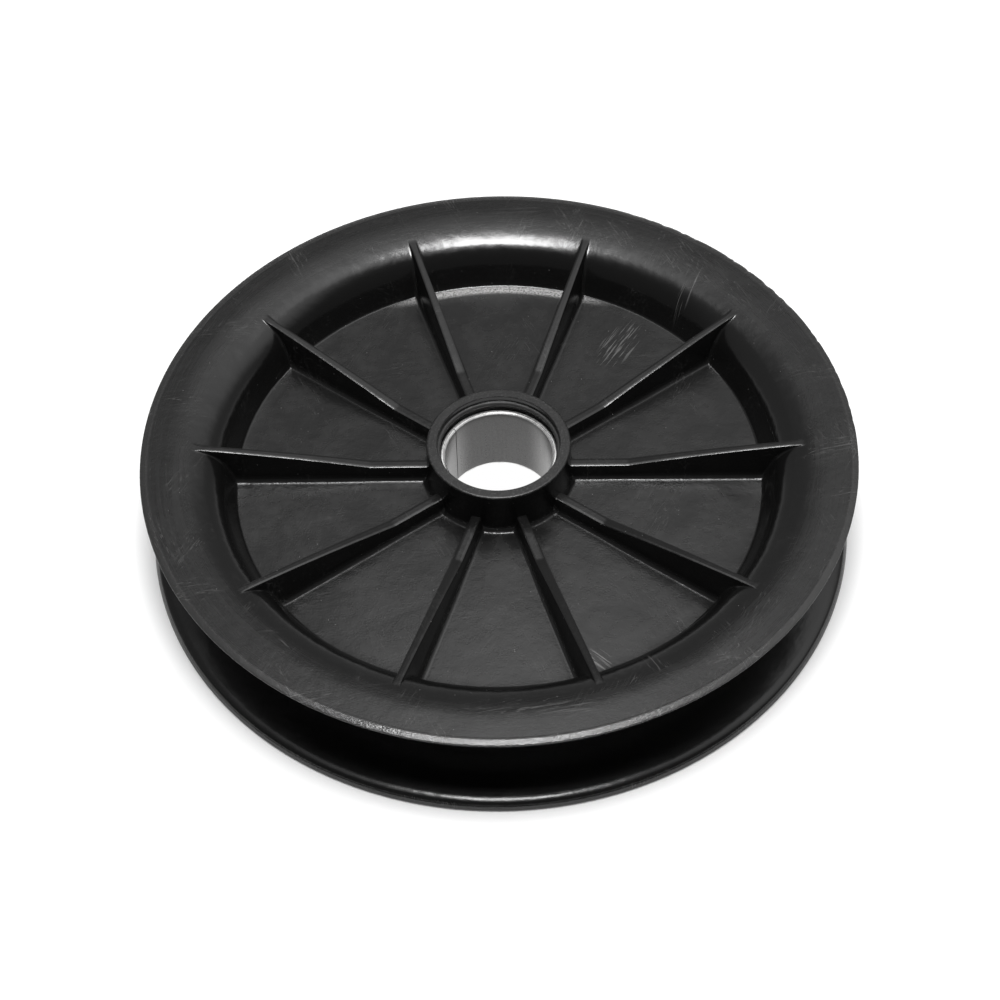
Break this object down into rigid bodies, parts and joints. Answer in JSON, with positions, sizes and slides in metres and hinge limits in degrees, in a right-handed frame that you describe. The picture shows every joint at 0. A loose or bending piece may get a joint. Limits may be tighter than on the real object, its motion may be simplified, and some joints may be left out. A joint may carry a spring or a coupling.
{
  "type": "hose pulley",
  "caption": "Spoked plastic pulley with a deep round groove for a hose and a rolled steel bush pressed into its hub.",
  "frame": {"origin": "middle of the bore, on its axis, half way through the pulley", "axes": "+Z along the bore, +X along one of the ribs; both faces of the pulley are alike"},
  "size_m": [0.166, 0.166, 0.0268],
  "materials": {
    "moulded_nylon": "black moulded nylon, satin with fine handling scratches",
    "rolled_steel": "rolled and sized steel strip, dull grey with a bright cut edge"
  },
  "bodies": {
    "root": {"sheave": "moulded_nylon", "bush": "rolled_steel"}
  },
  "joints": []
}
